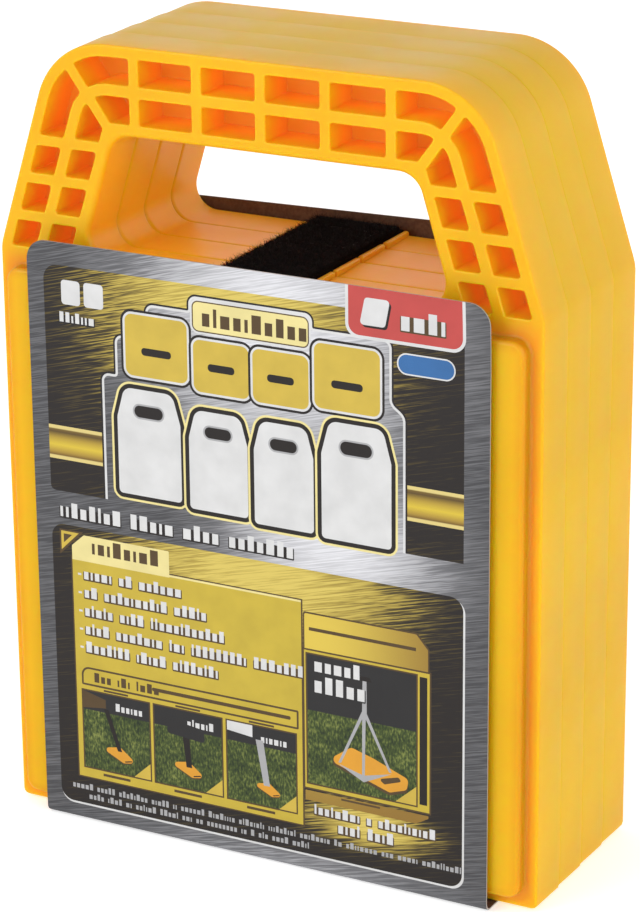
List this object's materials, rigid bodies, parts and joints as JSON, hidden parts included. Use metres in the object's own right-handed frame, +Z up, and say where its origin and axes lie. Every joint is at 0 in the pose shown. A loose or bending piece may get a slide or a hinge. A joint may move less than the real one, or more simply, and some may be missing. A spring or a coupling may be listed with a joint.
{
  "type": "stabilizer jack pad pack",
  "caption": "Stack of nesting moulded stabilizer jack pads with built-in handle slots, held upright by a hook-and-loop storage strap in a folded wrap card.",
  "frame": {"origin": "middle of the pack on the surface that it stands on", "axes": "+Z up towards the handles, -Y the card's front and the pads' platform side, +X to the right as seen from the front"},
  "size_m": [0.166, 0.067, 0.2285],
  "materials": {
    "pad_resin": "satin UV-stabilized yellow resin, slightly translucent",
    "strap_pile": "black brushed loop pile",
    "hook_tape": "black moulded hook tape",
    "thread": "charcoal polyester thread",
    "card_print": "coated board printed in brushed grey, black and gold",
    "card_board": "coated board printed in brushed grey"
  },
  "bodies": {
    "pad_rear": {"pad_4": "pad_resin", "strap_rear": "strap_pile", "card_back_flap": "card_board"},
    "pad_third": {"pad_3": "pad_resin"},
    "pad_second": {"pad_2": "pad_resin"},
    "pad_front": {"pad_1": "pad_resin", "strap_front": "strap_pile", "card_front_flap": "card_board"},
    "tab": {"strap_tab": "strap_pile", "strap_hook_patch": "hook_tape", "strap_stitching": "thread"},
    "card_front": {"card_front_panel": "card_print"},
    "card_back": {"card_back_panel": "card_print"}
  },
  "joints": [
    {"name": "pad_3_slide", "type": "slide", "parent": "pad_rear", "child": "pad_third", "axis": [0, -1, 0], "range_m": [0, 0.005]},
    {"name": "pad_2_slide", "type": "slide", "parent": "pad_third", "child": "pad_second", "axis": [0, -1, 0], "range_m": [0, 0.005]},
    {"name": "pad_1_slide", "type": "slide", "parent": "pad_second", "child": "pad_front", "axis": [0, -1, 0], "range_m": [0, 0.005]},
    {"name": "strap_tab_peel", "type": "hinge", "parent": "pad_front", "child": "tab", "pos_m": [0, 0.0017, 0.171], "axis": [1, 0, 0], "range_deg": [0, 70]},
    {"name": "card_front_fold", "type": "hinge", "parent": "pad_front", "child": "card_front", "pos_m": [0, -0.0335, 0], "axis": [1, 0, 0], "range_deg": [0, 90]},
    {"name": "card_back_fold", "type": "hinge", "parent": "pad_rear", "child": "card_back", "pos_m": [0, 0.0335, 0], "axis": [-1, 0, 0], "range_deg": [0, 90]}
  ]
}
